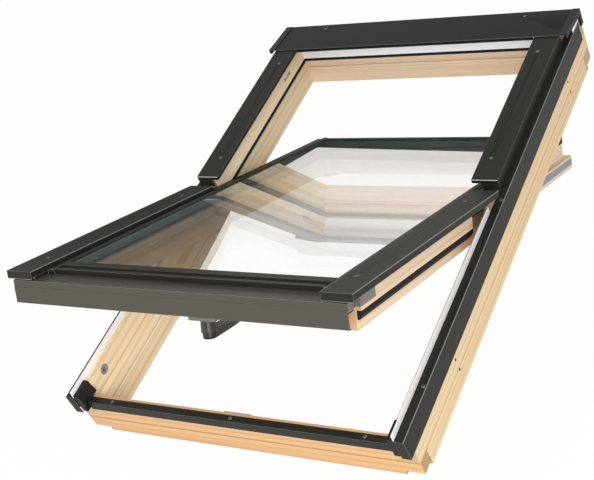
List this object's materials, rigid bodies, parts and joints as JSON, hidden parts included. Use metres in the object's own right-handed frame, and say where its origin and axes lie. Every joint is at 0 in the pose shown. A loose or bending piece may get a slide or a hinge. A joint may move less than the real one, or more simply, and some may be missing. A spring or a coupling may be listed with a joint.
{
  "type": "roof window",
  "caption": "Centre-pivot roof window: timber frame under folded aluminium covers, with a double-glazed timber sash that turns on side pivots, a lever handle and a sliding latch.",
  "frame": {"origin": "middle of the frame on the plane of its room face", "axes": "+X across the window to the right seen from outside, +Y up the roof slope, +Z out of the roof"},
  "size_m": [0.79, 1.1984, 0.6327],
  "materials": {
    "timber": "clear satin varnish on pine",
    "cover": "satin powder coat",
    "black_plastic": "matte",
    "rubber": "matte",
    "bright_aluminium": "satin",
    "slate_strip": "satin",
    "dark_steel": "satin",
    "steel": "satin zinc",
    "grey_plastic": "satin",
    "spacer": "matte",
    "glass": "clear",
    "brass": "satin"
  },
  "bodies": {
    "frame": {"left_jamb": "timber", "right_jamb": "timber", "head_rail": "timber", "sill_rail": "timber", "left_stop_batten": "timber", "right_stop_batten": "timber", "left_jamb_cover": "cover", "right_jamb_cover": "cover", "left_upper_cover": "cover", "right_upper_cover": "cover", "head_cover": "cover", "left_end_cap": "black_plastic", "right_end_cap": "black_plastic", "sill_cover": "cover", "left_corner_block": "black_plastic", "right_corner_block": "black_plastic", "left_weather_strip": "bright_aluminium", "right_weather_strip": "bright_aluminium", "head_strip": "bright_aluminium", "frame_gasket": "rubber", "striker_plate": "steel", "bolt_bush": "grey_plastic", "batten_catch": "steel", "left_hinge_plate": "steel", "right_hinge_plate": "steel", "frame_screws": "steel"},
    "sash": {"left_stile": "timber", "right_stile": "timber", "bottom_rail": "timber", "top_rail": "timber", "outer_pane": "glass", "inner_pane": "glass", "glazing_spacer": "spacer", "left_bead": "cover", "right_bead": "cover", "top_bead": "cover", "bottom_profile": "cover", "left_sash_cover": "cover", "right_sash_cover": "cover", "apron": "cover", "left_upper_trim": "cover", "right_upper_trim": "cover", "top_trim": "cover", "left_seal": "rubber", "right_seal": "rubber", "bottom_seal": "rubber", "left_corner_plate": "grey_plastic", "right_corner_plate": "grey_plastic", "left_lip_strip": "slate_strip", "right_lip_strip": "slate_strip", "left_pivot_bracket": "dark_steel", "right_pivot_bracket": "dark_steel", "sash_screws": "brass", "handle_base": "grey_plastic", "bolt_case": "grey_plastic"},
    "handle": {"handle_lever": "grey_plastic", "handle_grip": "black_plastic"},
    "latch": {"latch_tongue": "steel"},
    "cleaning_bolt": {"cleaning_bolt": "steel"}
  },
  "joints": [
    {"name": "sash_pivot", "type": "hinge", "parent": "frame", "child": "sash", "pos_m": [0, -0.013, 0.142], "axis": [-1, 0, 0], "range_deg": [-28.6, 100]},
    {"name": "handle_turn", "type": "hinge", "parent": "sash", "child": "handle", "pos_m": [0.008, -0.50609, 0.30719], "axis": [0, 0.4787, 0.878], "range_deg": [0, 90]},
    {"name": "latch_slide", "type": "slide", "parent": "sash", "child": "latch", "axis": [0, -0.878, 0.4787], "range_m": [0, 0.022]},
    {"name": "cleaning_bolt_slide", "type": "slide", "parent": "sash", "child": "cleaning_bolt", "axis": [-1, 0, 0], "range_m": [0, 0.011]}
  ],
  "couplings": [
    {"joint": "latch_slide", "follows": "handle_turn", "m_per_rad": 0.014}
  ]
}
